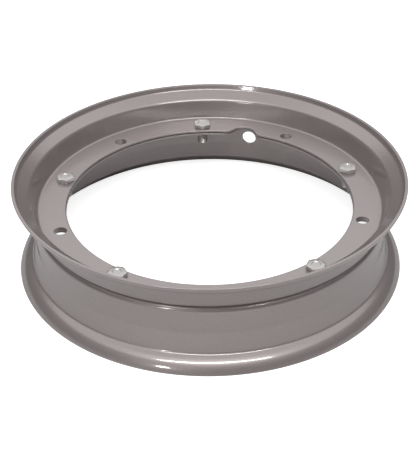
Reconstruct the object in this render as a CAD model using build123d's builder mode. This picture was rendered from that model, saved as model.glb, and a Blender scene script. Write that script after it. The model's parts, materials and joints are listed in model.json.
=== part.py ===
from build123d import *
import os
from math import cos, radians, sin, tan

# Split wheel rim of a motor scooter: two pressed steel halves held flange to flange by hex bolts.
# Millimetres. Z is the wheel axis. The deep half lies below with the edge of its lip on Z = 0,
# the shallow outer half lies on top of it, and the first bolt is on +Y.

# Pressed section of both halves, measured on the tyre side
sheet = 2.2               # thickness of the steel
rim_width = 69.4          # lip edge to lip edge
outer_half_depth = 25.3   # lip edge of the outer half to the joint between the halves
bead_diameter = 254.0     # bead seat at its heel
lip_height = 12.5         # from the bead seat out to the edge of the lip
bead_taper = 5.0          # degrees between the bead seat and the axis
bead_width = 13.0         # tapered part of the deep half's wall
flange_slope = 34.0       # degrees between the side flange and the joint
lip_lean = 15.0           # degrees between the lip and the axis
lip_straight = 0.8        # straight run between the lip's bend and its edge, on the hub side
lip_bend = 8.0            # bend radius from the side flange into the lip
heel_bend = 6.0           # bend radius from the bead seat into the side flange
seat_bend = 30.0          # bend radius from the bead seat into the deep half's straight wall
joint_bend = 5.2          # bend radius from the wall into the bolted flange
lip_round = 0.4           # rounding of the trimmed lip edge

# Opening for the hub, with the notch that the valve stem bends through
hub_inset = 24.25         # from the bead seat in to the edge of the opening
notch_radius = 9.2        # notch of the outer half
notch_step = 1.8          # how much larger the deep half's notch is, all round
notch_blend = 8.0         # rounding of the notch's mouth
edge_round = 0.8          # rounding of the opening's edges

# Holes
bolt_count = 5
bolt_inset = 16.5         # from the bead seat in to the circle that bolts and wheel studs share
first_bolt_angle = 90.0
stud_hole = 9.0
valve_hole = 11.0
valve_drop = 13.9         # joint down to the centre of the valve hole
valve_offset = -18.0      # degrees from the first bolt to the valve

# Clamp bolts
bolt_diameter = 8.0
bolt_length = 14.0        # under the head
bolt_clearance = 0.2      # radial, in the outer half
thread_clearance = 0.05   # radial, in the tapped holes of the deep half
point_chamfer = 0.9
head_across_flats = 12.0
head_height = 3.4
head_chamfer = 30.0       # degrees between the chamfer and the top of the head
head_margin = 0.3         # from the flats in to the round top and the round face under the head
washer_face = 0.3         # height of that round face
dish_diameter = 6.4       # shallow dish in the top of the head
dish_depth = 0.35
dish_taper = 45.0         # degrees between the side of the dish and the axis

bead_radius = bead_diameter / 2
lip_radius = bead_radius + lip_height
hub_radius = bead_radius - hub_inset
bolt_radius = bead_radius - bolt_inset
joint_z = rim_width - outer_half_depth
bolt_pitch = 360 / bolt_count
first_stud_angle = first_bolt_angle + bolt_pitch / 2
valve_angle = first_bolt_angle + valve_offset
wall_radius = bead_radius - bead_width * tan(radians(bead_taper))
flange_end = (hub_radius - sheet, joint_z)


def lip_to_heel(edge_z, inward):
    """Corners from beyond the lip edge to the bead heel; inward is +1 or -1 along Z, lip to joint."""
    lean = radians(lip_lean)
    bend_leg = lip_bend * tan(radians(90 - lip_lean - flange_slope) / 2)
    leg = bend_leg + lip_straight + sheet * tan(lean)
    beyond = (lip_radius + sheet * sin(lean), edge_z - inward * sheet * cos(lean))
    lip_corner = (lip_radius - leg * sin(lean), edge_z + inward * leg * cos(lean))
    flange_rise = (lip_corner[0] - bead_radius) * tan(radians(flange_slope))
    heel = (bead_radius, lip_corner[1] + inward * flange_rise)
    return [beyond, lip_corner, heel]


def pressed_section(corners, bends, edge_z, inward):
    """Sheet section on the hub side of a line of corners, trimmed square to the axis at the lip."""
    with BuildSketch(Plane.XZ) as section:
        with BuildLine():
            FilletPolyline(*corners, radius=bends)
            offset(amount=sheet, side=Side.LEFT if inward > 0 else Side.RIGHT)
        make_face()
        with Locations((lip_radius, edge_z - inward * sheet)):
            Rectangle(6 * sheet, 2 * sheet, mode=Mode.SUBTRACT)
        lip_edge = section.vertices().group_by(Axis.Y)[0 if inward > 0 else -1]
        fillet(lip_edge, radius=lip_round)
    return section.sketch


def flange_rims(half):
    """Edges of the hub opening on both sides of a half's bolted flange."""
    flange_faces = half.faces().filter_by(Axis.Z).sort_by(SortBy.AREA)[-2:]
    return [edge for face in flange_faces for edge in face.inner_wires()[0].edges()]


def opening_notch(radius):
    """Outline of the hub opening with a blended valve notch, drawn in the open sketch."""
    Circle(hub_radius)
    with PolarLocations(hub_radius, 1, start_angle=valve_angle):
        Circle(radius)


# Shallow half, towards the outside of the wheel
outer_lip = lip_to_heel(rim_width, -1)
outer_seat_drop = outer_lip[-1][1] - joint_z
outer_corner = (bead_radius - outer_seat_drop * tan(radians(bead_taper)), joint_z)
outer_section = pressed_section(
    [*outer_lip, outer_corner, flange_end], [lip_bend, heel_bend, joint_bend], rim_width, -1
)

with BuildPart() as outer_rim_half:
    revolve(outer_section, axis=Axis.Z)
    with BuildSketch(Plane.XY.offset(joint_z)) as outer_opening:
        opening_notch(notch_radius)
        fillet(outer_opening.vertices(), radius=notch_blend)
    extrude(amount=sheet, mode=Mode.SUBTRACT)
    fillet(flange_rims(outer_rim_half), radius=edge_round)
    with Locations((0, 0, joint_z + sheet)):
        with PolarLocations(bolt_radius, bolt_count, start_angle=first_bolt_angle):
            Hole(bolt_diameter / 2 + bolt_clearance, depth=sheet)
        with PolarLocations(bolt_radius, bolt_count, start_angle=first_stud_angle):
            Hole(stud_hole / 2, depth=sheet)

# Deep half, which takes the brake drum
inner_lip = lip_to_heel(0, 1)
seat_end = (wall_radius, inner_lip[-1][1] + bead_width)
inner_corner = (wall_radius, joint_z)
inner_section = pressed_section(
    [*inner_lip, seat_end, inner_corner, flange_end],
    [lip_bend, heel_bend, seat_bend, joint_bend],
    0,
    1,
)

with BuildPart() as inner_rim_half:
    revolve(inner_section, axis=Axis.Z)
    with BuildSketch(Plane.XY.offset(joint_z)) as inner_opening:
        opening_notch(notch_radius + notch_step)
        fillet(inner_opening.vertices(), radius=notch_blend)
    extrude(amount=-sheet, mode=Mode.SUBTRACT)
    fillet(flange_rims(inner_rim_half), radius=edge_round)
    with Locations((0, 0, joint_z)):
        with PolarLocations(bolt_radius, bolt_count, start_angle=first_bolt_angle):
            Hole(bolt_diameter / 2 + thread_clearance, depth=sheet)
        with PolarLocations(bolt_radius, bolt_count, start_angle=first_stud_angle):
            Hole(stud_hole / 2, depth=sheet)
    valve_way = Vector(1, 0, 0).rotate(Axis.Z, valve_angle)
    valve_mouth = valve_way * (wall_radius + sheet) + Vector(0, 0, joint_z - valve_drop)
    with Locations(Plane(valve_mouth, z_dir=valve_way)):
        Hole(valve_hole / 2, depth=3 * sheet)

# Hex bolt with its seat on Z = 0
head_circle = head_across_flats / 2 - head_margin
chamfer_fall = head_across_flats * tan(radians(head_chamfer))

with BuildPart() as bolt:
    with BuildSketch():
        Circle(head_circle)
    extrude(amount=washer_face)
    with BuildSketch(Plane.XY.offset(washer_face)):
        RegularPolygon(head_across_flats / 2, 6, major_radius=False)
    extrude(amount=head_height - washer_face)
    with BuildSketch(Plane.XZ):
        with BuildLine():
            Polyline(
                (head_circle, head_height),
                (head_circle + head_across_flats, head_height),
                (head_circle + head_across_flats, head_height - chamfer_fall),
                close=True,
            )
        make_face()
    revolve(axis=Axis.Z, mode=Mode.SUBTRACT)
    with BuildSketch(Plane.XY.offset(head_height)):
        Circle(dish_diameter / 2)
    extrude(amount=-dish_depth, taper=dish_taper, mode=Mode.SUBTRACT)
    with BuildSketch():
        Circle(bolt_diameter / 2)
    extrude(amount=-bolt_length)
    chamfer(bolt.faces().sort_by(Axis.Z)[0].edges(), length=point_chamfer)

# The bolts drop in from the outer half, heads up
with BuildPart() as clamp_bolts:
    with Locations((0, 0, joint_z + sheet)):
        with PolarLocations(bolt_radius, bolt_count, start_angle=first_bolt_angle):
            add(bolt.part)

os.makedirs("parts", exist_ok=True)
outer_rim_half.part.label = "outer_rim_half"
export_step(outer_rim_half.part, "parts/outer_rim_half.step")
inner_rim_half.part.label = "inner_rim_half"
export_step(inner_rim_half.part, "parts/inner_rim_half.step")
clamp_bolts.part.label = "clamp_bolts"
export_step(clamp_bolts.part, "parts/clamp_bolts.step")
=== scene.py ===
import json
from math import asin, atan2, ceil, cos, pi, radians, sin, sqrt, tan

import bmesh
import bpy
from mathutils import Matrix, Vector


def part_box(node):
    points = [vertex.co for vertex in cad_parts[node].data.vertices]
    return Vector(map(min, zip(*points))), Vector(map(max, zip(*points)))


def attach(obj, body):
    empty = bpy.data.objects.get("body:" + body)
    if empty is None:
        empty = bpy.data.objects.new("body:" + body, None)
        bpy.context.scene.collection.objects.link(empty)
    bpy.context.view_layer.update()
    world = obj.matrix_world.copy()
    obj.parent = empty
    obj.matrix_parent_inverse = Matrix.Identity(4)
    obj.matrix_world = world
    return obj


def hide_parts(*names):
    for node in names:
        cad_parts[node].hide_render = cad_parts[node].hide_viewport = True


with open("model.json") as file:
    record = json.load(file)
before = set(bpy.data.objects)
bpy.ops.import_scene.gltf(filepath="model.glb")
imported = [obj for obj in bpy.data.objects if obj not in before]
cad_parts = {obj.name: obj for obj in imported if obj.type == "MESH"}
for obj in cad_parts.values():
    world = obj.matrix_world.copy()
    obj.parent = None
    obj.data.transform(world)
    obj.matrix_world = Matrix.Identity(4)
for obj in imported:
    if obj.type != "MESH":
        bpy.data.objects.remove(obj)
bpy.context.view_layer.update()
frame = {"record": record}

# Split wheel rim of a motor scooter. The meshes are metres; the sizes below are millimetres, times MM.
MM = 0.001

# Interfaces, from the frame
mounts = {mount["name"]: mount for mount in frame["record"]["mounts"]}
hub_radius = mounts["hub_opening"]["dims"]["r_mm"] * MM
joint_z = mounts["hub_opening"]["pos_m"][2]
stud_circle = mounts["wheel_stud_holes"]["dims"]["pcd_mm"] / 2 * MM
stud_hole = mounts["wheel_stud_holes"]["dims"]["hole_r_mm"] * MM
bolt_count = mounts["wheel_stud_holes"]["dims"]["count"]
valve_hole = mounts["valve_hole"]["dims"]["r_mm"] * MM
valve_z = mounts["valve_hole"]["pos_m"][2]
valve_angle = atan2(mounts["valve_hole"]["axis"][1], mounts["valve_hole"]["axis"][0])
top_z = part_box("outer_rim_half")[1].z
bottom_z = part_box("inner_rim_half")[0].z

# Pressed section, measured on the tyre side
sheet = 2.2 * MM
bead_radius = 129.3 * MM
lip_radius = 139.5 * MM
bead_width = 13.8 * MM
bead_taper = radians(14)
outer_taper = radians(15.5)
heel_bend = 2.5 * MM
seat_bend = 12.0 * MM
joint_bend = 4.2 * MM
lip_round = 0.4 * MM

# Lip and side flange of each half: lip to axis, flange to joint, bend between them, straight run at the edge
outer_rim = {"lean": radians(22.5), "slope": radians(34), "bend": 5.0 * MM, "straight": 2.6 * MM}
inner_rim = {"lean": radians(21), "slope": radians(28), "bend": 14.0 * MM, "straight": 0.6 * MM}

# Hub opening, notch and holes
notch_radius = 9.2 * MM
notch_step = 1.8 * MM
notch_blend = 8.0 * MM
opening_round = 0.8 * MM
joint_round = 0.5 * MM
joint_relief = 0.45 * MM
relief_depth = 2.8 * MM
hole_round = 0.25 * MM
first_bolt = radians(90)
bolt_pitch = 2 * pi / bolt_count

# Clamp bolts
bolt_radius = 4.0 * MM
bolt_length = 14.0 * MM
bolt_clearance = 0.2 * MM
thread_clearance = 0.05 * MM
thread_pitch = 1.25 * MM
thread_depth = 0.6 * MM
flank_excess = 0.125  # share of the depth by which the flanks pass crest and root, so that flats are left
point_chamfer = 0.9 * MM
head_flat = 6.0 * MM
head_height = 3.4 * MM
head_chamfer = radians(30)
head_margin = 0.3 * MM
head_corner = 0.9 * MM
washer_face = 0.3 * MM
dish_radius = 3.2 * MM
dish_depth = 0.35 * MM

# Fineness of the meshes
turns = 360
bend_step = radians(4)
arc_step = 1.5 * MM
hole_steps = 48
round_steps = 5
thread_steps = 8
sharp_angle = radians(35)
level_rise = 1e-9

# Patch of wall round the valve hole: the room it leaves beside and below the hole
patch_side = 1.5 * MM
patch_below = 0.3 * MM


def rounded(corners, radii):
    """Points of a line of corners, the inner ones rounded to the radii."""
    points = [Vector(corners[0])]
    for before, corner, after, radius in zip(corners, corners[1:], corners[2:], radii):
        corner = Vector(corner)
        back = (Vector(before) - corner).normalized()
        on = (Vector(after) - corner).normalized()
        half = back.angle(on) / 2
        centre = corner + (back + on).normalized() * radius / sin(half)
        start = corner + back * radius / tan(half) - centre
        turn = start.angle_signed(corner + on * radius / tan(half) - centre)
        steps = max(2, ceil(abs(turn) / bend_step))
        for k in range(steps + 1):
            points.append(centre + Matrix.Rotation(-turn * k / steps, 2) @ start)
    points.append(Vector(corners[-1]))
    return points


def pressed_section(corners, bends, edge_z, hub_side):
    """Closed outline of the sheet, from the bolted flange out to the lip and back along the hub side.
    hub_side is 1 where the hub side is to the left of the line of corners, and -1 to the right."""
    line = [Vector(corner) for corner in corners]
    ways = [(b - a).normalized() for a, b in zip(line, line[1:])]
    normals = [Vector((-way.y, way.x)) * hub_side for way in ways]
    hub_line = [line[0] + normals[0] * sheet]
    hub_bends = []
    for corner, way, on, before, after, bend in zip(line[1:], ways, ways[1:], normals, normals[1:], bends):
        hub_line.append(corner + (before + after) * sheet / (1 + before.dot(after)))
        towards_hub = way.cross(on) * hub_side > 0
        hub_bends.append(bend - sheet if towards_hub else bend + sheet)
    hub_edge = hub_line[-1] + ways[-1] * (edge_z - hub_line[-1].y) / ways[-1].y
    outline = [*line, hub_edge, *reversed(hub_line)]
    return rounded(outline, [*bends, lip_round, lip_round, *reversed(hub_bends)])


def lip_to_heel(edge_z, inward, lean, slope, bend, straight):
    """Corners from the lip edge to the bead heel; inward is 1 or -1 along Z, lip to joint."""
    leg = bend * tan((pi / 2 - lean - slope) / 2) + straight + sheet * tan(lean)
    lip_corner = (lip_radius - leg * sin(lean), edge_z + inward * leg * cos(lean))
    heel = (bead_radius, lip_corner[1] + inward * (lip_corner[0] - bead_radius) * tan(slope))
    return [(lip_radius, edge_z), lip_corner, heel]


def opening_outline(radius):
    """Hub opening with its blended valve notch: points, each with its normal into the sheet."""
    blend_ring = hub_radius + notch_blend
    x = (blend_ring**2 - (radius + notch_blend) ** 2 + hub_radius**2) / (2 * hub_radius)
    y = sqrt(blend_ring**2 - x**2)
    notch = Vector((hub_radius, 0))
    blend = Vector((x, y))
    hub_limit = atan2(y, x)
    notch_limit = atan2(y, x - hub_radius)
    outline = []

    def arc(centre, size, start, end, into):
        steps = ceil(abs(end - start) * size / arc_step)
        for k in range(steps):
            angle = start + (end - start) * k / steps
            way = Vector((cos(angle), sin(angle)))
            outline.append((centre + way * size, way * into))

    arc(Vector((0, 0)), hub_radius, hub_limit, 2 * pi - hub_limit, 1)
    arc(Vector((x, -y)), notch_blend, pi - hub_limit, pi - notch_limit, -1)
    arc(notch, radius, -notch_limit, notch_limit, 1)
    arc(blend, notch_blend, pi + notch_limit, pi + hub_limit, -1)
    turn = Matrix.Rotation(valve_angle, 2)
    return [(turn @ point, turn @ normal) for point, normal in outline]


def hole_outline(angle, radius):
    """A hole on the stud circle: points, each with its normal into the sheet."""
    centre = Vector((cos(angle), sin(angle))) * stud_circle
    ways = [Vector((cos(2 * pi * k / hole_steps), sin(2 * pi * k / hole_steps))) for k in range(hole_steps)]
    return [(centre + way * radius, way) for way in ways]


def skin(mesh, rows, closed=True, skip=()):
    """Quads between rows of vertices; skip holds the (row, place) of quads to leave out."""
    for i, (row, after) in enumerate(zip(rows, rows[1:])):
        count = len(row)
        for j in range(count if closed else count - 1):
            if (i, j) not in skip:
                mesh.faces.new((row[j], row[(j + 1) % count], after[(j + 1) % count], after[j]))


def loop_edges(mesh, row):
    """Edges round a closed row of vertices, made where they are missing."""
    pairs = zip(row, [*row[1:], row[0]])
    return [mesh.edges.get(pair) or mesh.edges.new(pair) for pair in pairs]


def punched_edge(mesh, outline, low, high, low_edge, high_edge):
    """Wall of an opening between the flange's faces; gives its lowest and top rows.
    An edge is its rounding, and the height and depth of its relief."""
    quarter = [pi / 2 * k / round_steps for k in range(round_steps + 1)]
    rounding, height, depth = low_edge
    section = [(depth, low)] if height else []
    section += [(rounding * (1 - sin(a)), low + height + rounding * (1 - cos(a))) for a in quarter]
    rounding, height, depth = high_edge
    section += [(rounding * (1 - cos(a)), high - height - rounding * (1 - sin(a))) for a in quarter]
    section += [(depth, high)] if height else []
    rows = []
    for offset, z in section:
        rows.append([mesh.verts.new((*(point + normal * offset), z)) for point, normal in outline])
    skin(mesh, rows)
    return rows[0], rows[-1]


def valve_hole_rows(mesh, section, rounding):
    """Rows of the valve hole's wall, from the tyre side of the sheet to its hub side."""
    half = len(section) // 2

    def wall_radius(z, line):
        for a, b in zip(line, line[1:]):
            if min(a.y, b.y) <= z <= max(a.y, b.y) and abs(a.y - b.y) > level_rise:
                return a.x + (b.x - a.x) * (z - a.y) / (b.y - a.y)

    quarter = [pi / 2 * k / round_steps for k in range(round_steps + 1)]
    steps = [(section[:half], rounding * (1 - sin(a)), -rounding * (1 - cos(a))) for a in quarter]
    steps += [(section[half:], rounding * (1 - cos(a)), rounding * (1 - sin(a))) for a in quarter]
    rows = []
    for line, offset, out in steps:
        row = []
        for k in range(hole_steps):
            across = (valve_hole + offset) * cos(2 * pi * k / hole_steps)
            z = valve_z + (valve_hole + offset) * sin(2 * pi * k / hole_steps)
            along = sqrt(wall_radius(z, line) ** 2 - across**2) + out
            place = Matrix.Rotation(valve_angle, 2) @ Vector((along, across))
            row.append(mesh.verts.new((*place, z)))
        rows.append(row)
    return rows


def valve_patches(section, rows, hole_rows):
    """Quads to leave out round the valve hole, and each side's patch: its border and the hole's edge."""
    reach = valve_hole + hole_round
    spread = asin((reach + patch_side) / section[0].x)
    first = int((valve_angle - spread) / (2 * pi) * turns)
    last = ceil((valve_angle + spread) / (2 * pi) * turns)
    half = len(section) // 2
    skip = set()
    patches = []

    def height(i):
        return section[i].y

    for side, hole_row in ((range(half), hole_rows[0]), (range(half, len(section)), hole_rows[-1])):
        wall = [i for i in side if section[i].x < bead_radius + sheet]
        low = max((i for i in wall if height(i) < valve_z - reach - patch_below), key=height)
        high = min((i for i in wall if height(i) > valve_z + reach), key=height)
        start, end = min(low, high), max(low, high)
        skip |= {(i, j) for i in range(start, end) for j in range(first, last)}
        border = [rows[start][j] for j in range(first, last)]
        border += [rows[i][last] for i in range(start, end)]
        border += [rows[end][j] for j in range(last, first, -1)]
        border += [rows[i][first] for i in range(end, start, -1)]
        patches.append((border, hole_row))
    return skip, patches


def make_half(name, corners, bends, edge_z, hub_side, notch, bolt_hole, with_valve):
    """One pressed half: revolved section, flange with hub opening and holes, and the valve hole."""
    mesh = bmesh.new()
    section = pressed_section(corners, bends, edge_z, hub_side)[1:-1]
    rows = []
    for point in section:
        ring = [2 * pi * j / turns for j in range(turns)]
        rows.append([mesh.verts.new((point.x * cos(a), point.x * sin(a), point.y)) for a in ring])
    skip, patches = set(), []
    if with_valve:
        hole_rows = valve_hole_rows(mesh, section, hole_round)
        skin(mesh, hole_rows)
        skip, patches = valve_patches(section, rows, hole_rows)
    skin(mesh, rows, skip=skip)
    for border, hole_row in patches:
        edges = loop_edges(mesh, border) + loop_edges(mesh, hole_row)
        way = (cos(valve_angle), sin(valve_angle), 0)
        bmesh.ops.triangle_fill(mesh, use_beauty=True, edges=edges, normal=way)
    low, high = sorted((section[0].y, section[-1].y))
    low_row, high_row = (rows[0], rows[-1]) if section[0].y < section[-1].y else (rows[-1], rows[0])
    low_edges, high_edges = loop_edges(mesh, low_row), loop_edges(mesh, high_row)
    hole_edge = (hole_round, 0, 0)
    opening_edge = (opening_round, 0, 0)
    joint_edge = (joint_round, joint_relief, relief_depth)
    opening_edges = (joint_edge, opening_edge) if hub_side > 0 else (opening_edge, joint_edge)
    outlines = [(opening_outline(notch), *opening_edges)]
    for k in range(bolt_count):
        angle = first_bolt + k * bolt_pitch
        outlines.append((hole_outline(angle, bolt_hole), hole_edge, hole_edge))
        outlines.append((hole_outline(angle + bolt_pitch / 2, stud_hole), hole_edge, hole_edge))
    for outline, low_edge, high_edge in outlines:
        low_rim, high_rim = punched_edge(mesh, outline, low, high, low_edge, high_edge)
        low_edges += loop_edges(mesh, low_rim)
        high_edges += loop_edges(mesh, high_rim)
    bmesh.ops.triangle_fill(mesh, use_beauty=True, edges=low_edges, normal=(0, 0, -1))
    bmesh.ops.triangle_fill(mesh, use_beauty=True, edges=high_edges, normal=(0, 0, 1))
    return finished(name, mesh)


def finished(name, mesh):
    """Object of a closed mesh, smooth, with normals that follow its large faces."""
    bmesh.ops.recalc_face_normals(mesh, faces=mesh.faces)
    open_edges = [edge for edge in mesh.edges if len(edge.link_faces) != 2]
    print(name, "faces", len(mesh.faces), "open edges", len(open_edges))
    data = bpy.data.meshes.new(name)
    mesh.to_mesh(data)
    mesh.free()
    data.polygons.foreach_set("use_smooth", [True] * len(data.polygons))
    data.set_sharp_from_angle(angle=sharp_angle)
    piece = bpy.data.objects.new(name, data)
    bpy.context.scene.collection.objects.link(piece)
    weighted = piece.modifiers.new("weighted_normals", "WEIGHTED_NORMAL")
    weighted.keep_sharp = True
    return piece


def make_bolts(name):
    """Hex bolts with a chamfered, dished head and a threaded shank."""
    mesh = bmesh.new()
    corners = [Vector((cos(k * pi / 3), sin(k * pi / 3))) * head_flat / cos(pi / 6) for k in range(6)]
    hexagon = []
    for k in range(6):
        before, after = (corners[k - 1] + corners[k]) / 2, (corners[k] + corners[(k + 1) % 6]) / 2
        hexagon += rounded([before, corners[k], after], [head_corner])[:-1]
    ways = [point.normalized() for point in hexagon]
    spans = [point.length for point in hexagon]
    top_circle = head_flat - head_margin

    def ring(radius, z):
        return [(*(way * radius), z) for way in ways]

    def head_top(span):
        return head_height - (span - top_circle) * tan(head_chamfer)

    places = [ring(top_circle, 0), ring(top_circle, washer_face)]
    places.append([(*point, washer_face) for point in hexagon])
    places.append([(*point, head_top(span)) for point, span in zip(hexagon, spans)])
    places.append(ring(top_circle, head_height))
    places.append(ring(dish_radius, head_height))
    places.append(ring(dish_radius - dish_depth, head_height - dish_depth))
    shank = []
    thread_rows = ceil(bolt_length / (thread_pitch / thread_steps))
    for i in range(thread_rows + 1):
        z = -bolt_length * i / thread_rows
        chamfer = bolt_radius - max(0, point_chamfer - (bolt_length + z))
        row = []
        for way in ways:
            share = (z / thread_pitch - atan2(way.y, way.x) / (2 * pi)) % 1
            flank = (1 + 2 * flank_excess) * (1 - abs(2 * share - 1)) - flank_excess
            thread = bolt_radius - thread_depth * min(1, max(0, flank))
            row.append((*(way * min(thread, chamfer)), z))
        shank.append(row)
    seat_z = joint_z + sheet
    for k in range(bolt_count):
        turn = Matrix.Rotation(first_bolt + k * bolt_pitch, 4, "Z")
        place = turn @ Matrix.Translation((stud_circle, 0, seat_z))
        head_rows = [[mesh.verts.new(place @ Vector(p)) for p in row] for row in places]
        shank_rows = [[mesh.verts.new(place @ Vector(p)) for p in row] for row in shank]
        skin(mesh, head_rows)
        skin(mesh, [head_rows[0], *shank_rows])
        mesh.faces.new(head_rows[-1])
        mesh.faces.new(shank_rows[-1])
    return finished(name, mesh)


outer_lip = lip_to_heel(top_z, -1, **outer_rim)
outer_seat_drop = outer_lip[-1][1] - joint_z
outer_corner = (bead_radius - outer_seat_drop * tan(outer_taper), joint_z)
outer_half = make_half(
    "outer_half_paint",
    [(hub_radius, joint_z), outer_corner, *reversed(outer_lip)],
    [joint_bend, heel_bend, outer_rim["bend"]],
    edge_z=top_z,
    hub_side=1,
    notch=notch_radius,
    bolt_hole=bolt_radius + bolt_clearance,
    with_valve=False,
)

inner_lip = lip_to_heel(bottom_z, 1, **inner_rim)
wall_radius = bead_radius - bead_width * tan(bead_taper)
seat_end = (wall_radius, inner_lip[-1][1] + bead_width)
inner_half = make_half(
    "inner_half_paint",
    [(hub_radius, joint_z), (wall_radius, joint_z), seat_end, *reversed(inner_lip)],
    [joint_bend, seat_bend, heel_bend, inner_rim["bend"]],
    edge_z=bottom_z,
    hub_side=-1,
    notch=notch_radius + notch_step,
    bolt_hole=bolt_radius + thread_clearance,
    with_valve=True,
)
bolts = make_bolts("clamp_bolt_set")

for piece, node, slot in (
    (outer_half, "outer_rim_half", "rim_paint"),
    (inner_half, "inner_rim_half", "rim_paint"),
    (bolts, "clamp_bolts", "bolt_zinc"),
):
    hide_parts(node)
    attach(piece, "root")


def paint_material():
    """Silver grey paint with fine flake under a clear coat."""
    material = bpy.data.materials.new("rim_paint")
    material.use_nodes = True
    nodes, links = material.node_tree.nodes, material.node_tree.links
    shader = nodes["Principled BSDF"]
    place = nodes.new("ShaderNodeTexCoord")
    flake = nodes.new("ShaderNodeTexNoise")
    flake.inputs["Scale"].default_value = 1600
    flake.inputs["Detail"].default_value = 2
    tone = nodes.new("ShaderNodeMix")
    tone.data_type = "RGBA"
    tone.inputs["A"].default_value = (0.272, 0.23, 0.229, 1)
    tone.inputs["B"].default_value = (0.413, 0.361, 0.356, 1)
    sheen = nodes.new("ShaderNodeMapRange")
    sheen.inputs["To Min"].default_value = 0.36
    sheen.inputs["To Max"].default_value = 0.5
    peel = nodes.new("ShaderNodeTexNoise")
    peel.inputs["Scale"].default_value = 420
    peel.inputs["Detail"].default_value = 1
    bump = nodes.new("ShaderNodeBump")
    bump.inputs["Strength"].default_value = 0.05
    bump.inputs["Distance"].default_value = 0.0004
    links.new(place.outputs["Object"], flake.inputs["Vector"])
    links.new(place.outputs["Object"], peel.inputs["Vector"])
    links.new(flake.outputs["Fac"], tone.inputs["Factor"])
    links.new(tone.outputs["Result"], shader.inputs["Base Color"])
    links.new(flake.outputs["Fac"], sheen.inputs["Value"])
    links.new(sheen.outputs["Result"], shader.inputs["Roughness"])
    links.new(peel.outputs["Fac"], bump.inputs["Height"])
    links.new(bump.outputs["Normal"], shader.inputs["Coat Normal"])
    shader.inputs["Metallic"].default_value = 0.5
    shader.inputs["Coat Weight"].default_value = 1.0
    shader.inputs["Coat Roughness"].default_value = 0.1
    shader.inputs["Coat IOR"].default_value = 1.8
    return material


def zinc_material():
    """Zinc plated steel."""
    material = bpy.data.materials.new("bolt_zinc")
    material.use_nodes = True
    nodes, links = material.node_tree.nodes, material.node_tree.links
    shader = nodes["Principled BSDF"]
    place = nodes.new("ShaderNodeTexCoord")
    grain = nodes.new("ShaderNodeTexNoise")
    grain.inputs["Scale"].default_value = 900
    tone = nodes.new("ShaderNodeMix")
    tone.data_type = "RGBA"
    tone.inputs["A"].default_value = (0.5, 0.485, 0.475, 1)
    tone.inputs["B"].default_value = (0.68, 0.66, 0.65, 1)
    links.new(place.outputs["Object"], grain.inputs["Vector"])
    links.new(grain.outputs["Fac"], tone.inputs["Factor"])
    links.new(tone.outputs["Result"], shader.inputs["Base Color"])
    shader.inputs["Metallic"].default_value = 0.75
    shader.inputs["Roughness"].default_value = 0.3
    return material


paint = paint_material()
zinc = zinc_material()
outer_half.data.materials.append(paint)
inner_half.data.materials.append(paint)
bolts.data.materials.append(zinc)

# White floor that keeps a pale shadow: what the camera sees is lifted, what falls back on the rim is not
floor_size = 8.0
floor_data = bpy.data.meshes.new("floor")
floor_edge = floor_size / 2
floor_corners = [(x * floor_edge, y * floor_edge, 0) for x, y in ((-1, -1), (1, -1), (1, 1), (-1, 1))]
floor_data.from_pydata(floor_corners, [], [(0, 1, 2, 3)])
floor = bpy.data.objects.new("floor", floor_data)
bpy.context.scene.collection.objects.link(floor)
floor_material = bpy.data.materials.new("floor_white")
floor_material.use_nodes = True
nodes, links = floor_material.node_tree.nodes, floor_material.node_tree.links
floor_shader = nodes["Principled BSDF"]
floor_shader.inputs["Base Color"].default_value = (0.7, 0.7, 0.7, 1)
floor_shader.inputs["Roughness"].default_value = 0.9
floor_shader.inputs["Emission Color"].default_value = (1, 1, 1, 1)
rays = nodes.new("ShaderNodeLightPath")
lift = nodes.new("ShaderNodeMath")
lift.operation = "MULTIPLY"
lift.inputs[1].default_value = 0.8
links.new(rays.outputs["Is Camera Ray"], lift.inputs[0])
links.new(lift.outputs["Value"], floor_shader.inputs["Emission Strength"])
floor_data.materials.append(floor_material)

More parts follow.
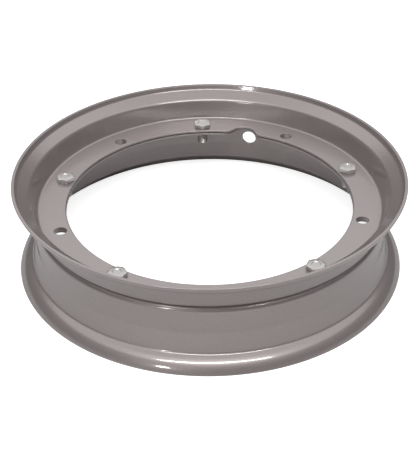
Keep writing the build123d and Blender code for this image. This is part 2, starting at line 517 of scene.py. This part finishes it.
# Studio light: dim towards the horizon, brighter overhead, white where the camera looks past the floor
world = bpy.data.worlds.new("studio")
bpy.context.scene.world = world
world.use_nodes = True
nodes, links = world.node_tree.nodes, world.node_tree.links
sky = nodes["Background"]
place = nodes.new("ShaderNodeTexCoord")
height = nodes.new("ShaderNodeVectorMath")
height.operation = "DOT_PRODUCT"
height.inputs[1].default_value = (0, 0.2, 1)
rise = nodes.new("ShaderNodeValToRGB")
rise.color_ramp.interpolation = "EASE"
rise.color_ramp.elements[0].position = 0.6
rise.color_ramp.elements[0].color = (0.12, 0.12, 0.12, 1)
rise.color_ramp.elements[1].color = (0.65, 0.65, 0.65, 1)
for stop in (0.74, 0.86):
    rise.color_ramp.elements.new(stop).color = (1.15, 1.15, 1.15, 1)
rays = nodes.new("ShaderNodeLightPath")
seen = nodes.new("ShaderNodeMath")
seen.operation = "MAXIMUM"
links.new(place.outputs["Generated"], height.inputs[0])
links.new(height.outputs["Value"], rise.inputs["Fac"])
links.new(rise.outputs["Color"], seen.inputs[0])
links.new(rays.outputs["Is Camera Ray"], seen.inputs[1])
links.new(seen.outputs["Value"], sky.inputs["Strength"])
sky.inputs["Color"].default_value = (1, 1, 1, 1)


def softbox(name, place, size, power):
    """Area lamp at a place in metres, that looks at the middle of the rim."""
    lamp = bpy.data.lights.new(name, "AREA")
    lamp.shape = "RECTANGLE"
    lamp.size, lamp.size_y = size
    lamp.energy = power
    piece = bpy.data.objects.new(name, lamp)
    bpy.context.scene.collection.objects.link(piece)
    piece.location = place
    piece.rotation_euler = (Vector((0, 0, joint_z)) - piece.location).to_track_quat("-Z", "Y").to_euler()


softbox("above_camera", place=(0, -0.8, 1.35), size=(1.3, 0.14), power=10)
softbox("low_left", place=(-0.5, -0.95, 0.42), size=(0.12, 0.12), power=1.1)

# Camera at the photograph's place; the back bolt is seen a little to the left of the middle
camera_azimuth = radians(-2.75)
camera_pitch = radians(33.874)
camera_roll = radians(-0.568)
camera_reach = 678.5 * MM
camera_rise = 403.1 * MM
photo_height = 466
focal_pixels = 1113.0

camera_data = bpy.data.cameras.new("camera")
camera_data.sensor_fit = "VERTICAL"
camera_data.sensor_height = 36
camera_data.lens = focal_pixels / photo_height * camera_data.sensor_height
camera_data.clip_start = 0.01
camera = bpy.data.objects.new("camera", camera_data)
bpy.context.scene.collection.objects.link(camera)
stand = Matrix.Rotation(camera_azimuth, 4, "Z") @ Matrix.Translation((0, -camera_reach, top_z + camera_rise))
tilt = Matrix.Rotation(pi / 2 - camera_pitch, 4, "X")
roll = Matrix.Rotation(camera_roll, 4, "Z")
camera.matrix_world = stand @ tilt @ roll
bpy.context.scene.camera = camera
bpy.context.scene.view_settings.view_transform = "Standard"
